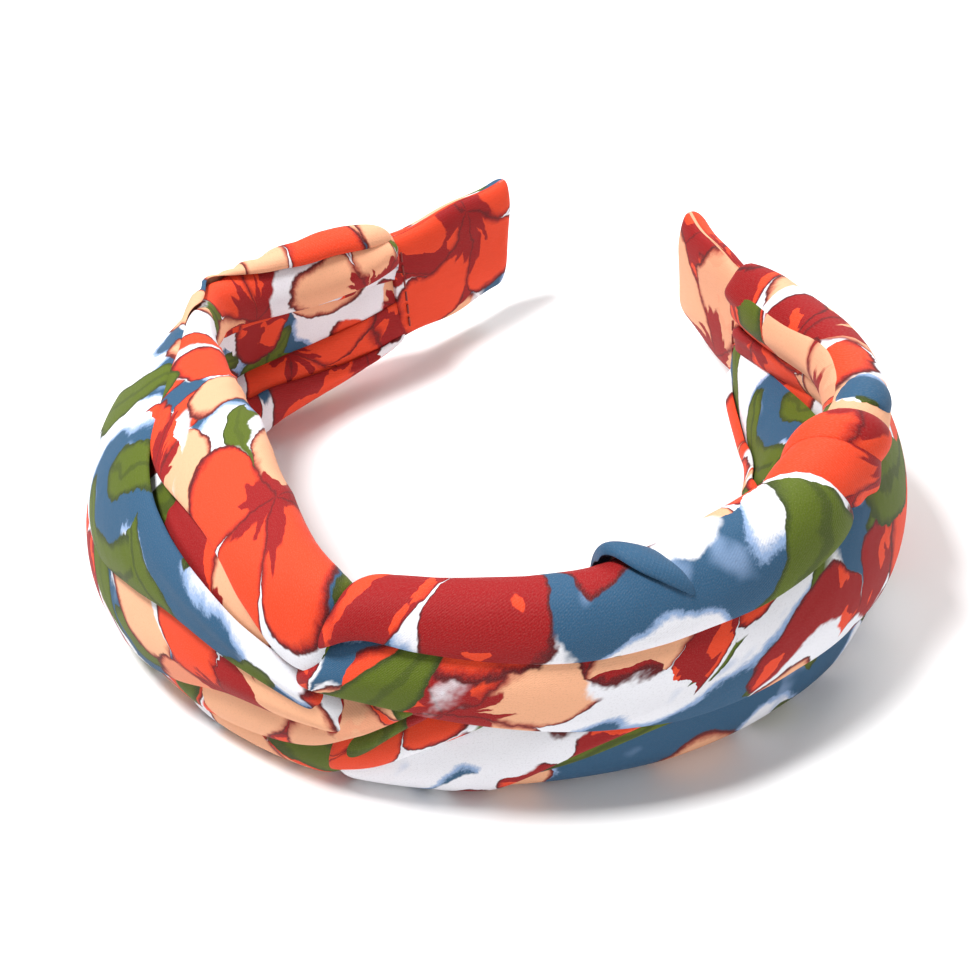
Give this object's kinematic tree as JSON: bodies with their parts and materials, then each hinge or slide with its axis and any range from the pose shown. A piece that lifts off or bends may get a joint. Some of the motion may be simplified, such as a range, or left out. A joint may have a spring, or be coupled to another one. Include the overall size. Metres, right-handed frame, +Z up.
{
  "type": "knotted headband",
  "caption": "Padded hair hoop wrapped in two wide printed cloth bands that hook through each other in a knot at the crown.",
  "frame": {"origin": "on the table under the middle of the band's box, with the band lying on its edge", "axes": "+X to the right arm, +Y from the knot towards the open tips, +Z up across the band's width"},
  "size_m": [0.1526, 0.1522, 0.045],
  "materials": {
    "hoop_plastic": "smooth moulded plastic",
    "foam": "soft open-cell foam",
    "lining_cloth": "satin-faced cloth",
    "print_cloth": "twill with a soft painterly floral print",
    "thread": "sewing thread"
  },
  "bodies": {
    "root": {"hoop": "hoop_plastic", "foam_pad": "foam", "inner_lining": "lining_cloth", "left_wrap": "print_cloth", "right_wrap": "print_cloth", "left_tip_sleeve": "print_cloth", "right_tip_sleeve": "print_cloth", "left_tip_seam": "thread", "right_tip_seam": "thread", "knot_tack": "thread"}
  },
  "joints": []
}
